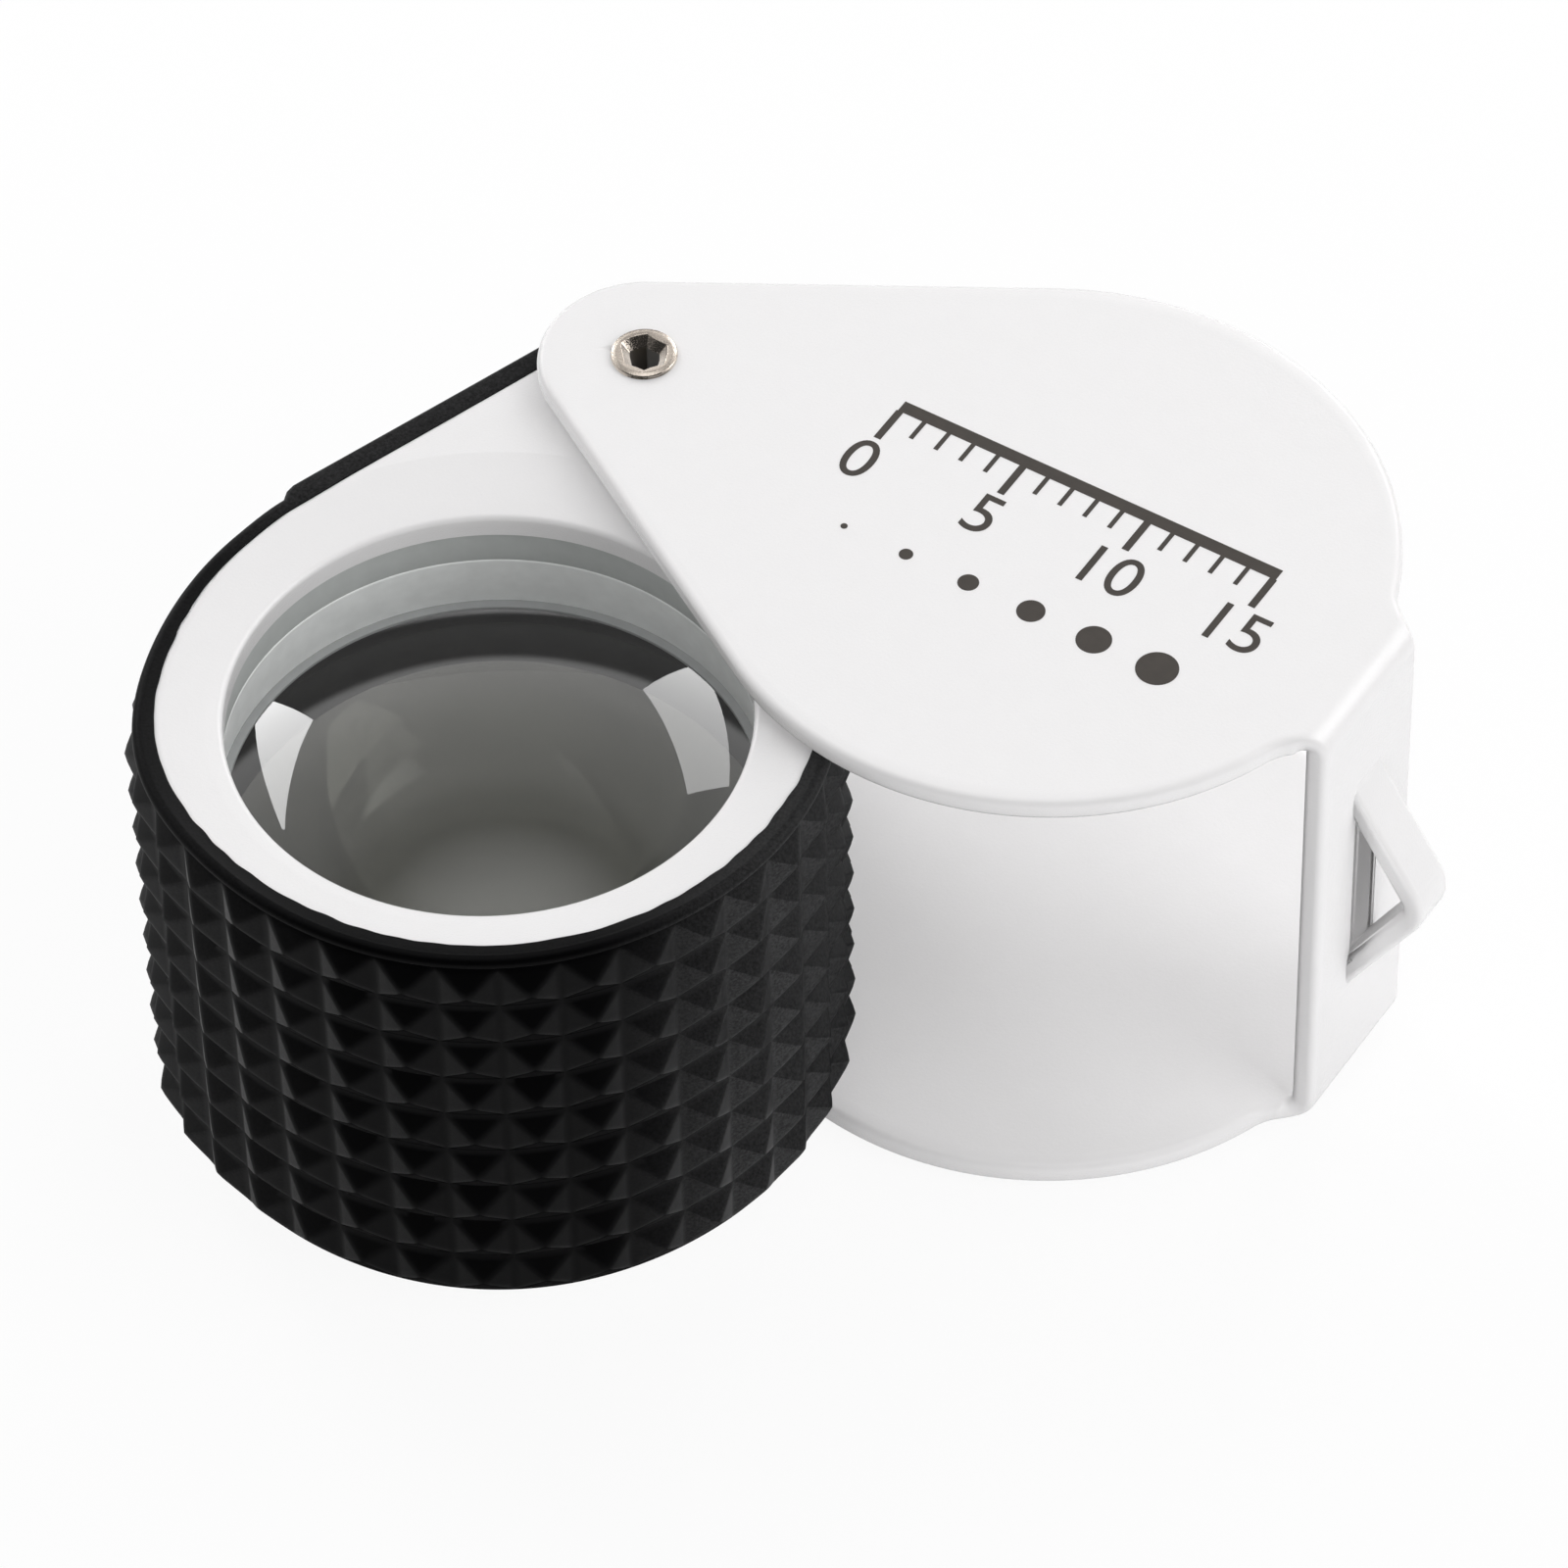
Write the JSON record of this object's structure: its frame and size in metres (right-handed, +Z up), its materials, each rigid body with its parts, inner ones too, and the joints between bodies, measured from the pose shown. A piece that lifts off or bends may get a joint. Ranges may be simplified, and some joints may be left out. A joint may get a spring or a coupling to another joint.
{
  "type": "jeweler loupe",
  "caption": "Folding pocket magnifier: a round lens holder with a studded rubber grip swings on a rivet between two tear-shaped cover plates.",
  "frame": {"origin": "centre of the cover plates' round end, on the underside of the lower plate", "axes": "+X from there along the plates' long axis to the wall that joins them, +Z up through both plates, parallel to the rivet"},
  "size_m": [0.0404, 0.0397, 0.0205],
  "materials": {
    "off_white_paint": "satin off-white paint with a fine sparkle",
    "nickel": "nickel plate",
    "bronze": "plain rolled bronze",
    "black_rubber": "matt moulded rubber",
    "grey_metal": "fine turned",
    "pale_metal": "fine turned, matt",
    "blackened_metal": "blackened",
    "lens_glass": "polished optical glass"
  },
  "bodies": {
    "case": {"case_shell": "off_white_paint", "pivot_eyelet": "nickel"},
    "holder": {"lens_holder": "off_white_paint", "rubber_grip": "black_rubber", "upper_friction_washer": "bronze", "lower_friction_washer": "bronze", "lens_barrel": "grey_metal", "upper_spacer_ring": "pale_metal", "upper_seat_ring": "blackened_metal", "front_flint_lens": "lens_glass", "crown_lens": "lens_glass", "rear_flint_lens": "lens_glass", "lower_seat_ring": "blackened_metal", "lower_retaining_ring": "pale_metal", "lower_bezel_ring": "off_white_paint"}
  },
  "joints": [
    {"name": "holder_swing", "type": "hinge", "parent": "case", "child": "holder", "pos_m": [-0.0165, 0, 0.01005], "axis": [0, 0, 1], "continuous": true}
  ]
}
